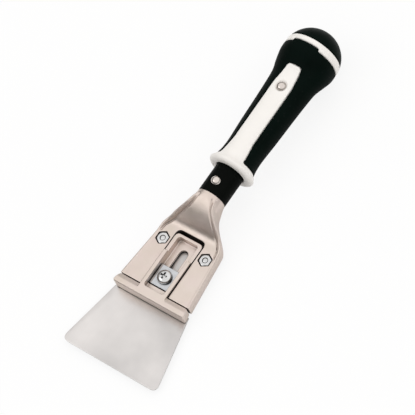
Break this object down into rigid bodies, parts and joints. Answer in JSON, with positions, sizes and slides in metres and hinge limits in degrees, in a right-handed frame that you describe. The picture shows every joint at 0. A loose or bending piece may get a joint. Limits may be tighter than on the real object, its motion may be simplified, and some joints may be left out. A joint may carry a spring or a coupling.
{
  "type": "wall scraper",
  "caption": "Hand scraper with a clamped steel blade, a sliding blade stiffener locked by a screw, a cast head and a soft-grip handle with a bulb end.",
  "frame": {"origin": "centre of the bounding box's bottom face, on the surface that the scraper lies on", "axes": "+X across the blade, +Y from the cutting edge to the handle's end cap, +Z out of the head's front"},
  "size_m": [0.0732, 0.259, 0.04],
  "materials": {
    "blade_steel": "fine brushed spring steel",
    "cast_metal": "satin die-cast, warm nickel grey",
    "zinc_plate": "bright zinc plate",
    "nickel_plate": "dull nickel plate",
    "black_paint": "black coating, half gloss",
    "white_plastic": "off-white moulded, half matt",
    "black_rubber": "black soft overmould",
    "black_plastic": "black moulded cap"
  },
  "bodies": {
    "fixed_parts": {"blade": "blade_steel", "head_casting": "cast_metal", "back_plate": "cast_metal", "clamp_screw_left": "zinc_plate", "clamp_screw_right": "zinc_plate", "clamp_nut_left": "zinc_plate", "clamp_nut_right": "zinc_plate", "lock_nut": "zinc_plate", "guide_plate": "zinc_plate", "shank_tube": "black_paint", "tube_rivet": "nickel_plate", "handle_core": "white_plastic", "soft_grip": "black_rubber", "end_cap": "black_plastic", "handle_pin": "nickel_plate"},
    "stiffener": {"blade_stiffener": "cast_metal"},
    "lock_screw": {"lock_screw": "zinc_plate"}
  },
  "joints": [
    {"name": "stiffener_slide", "type": "slide", "parent": "fixed_parts", "child": "stiffener", "axis": [0, -1, 0], "range_m": [0, 0.0195]},
    {"name": "lock_screw_turn", "type": "hinge", "parent": "fixed_parts", "child": "lock_screw", "pos_m": [0, -0.064, 0.01], "axis": [0, 0, 1], "range_deg": [0, 360]}
  ]
}
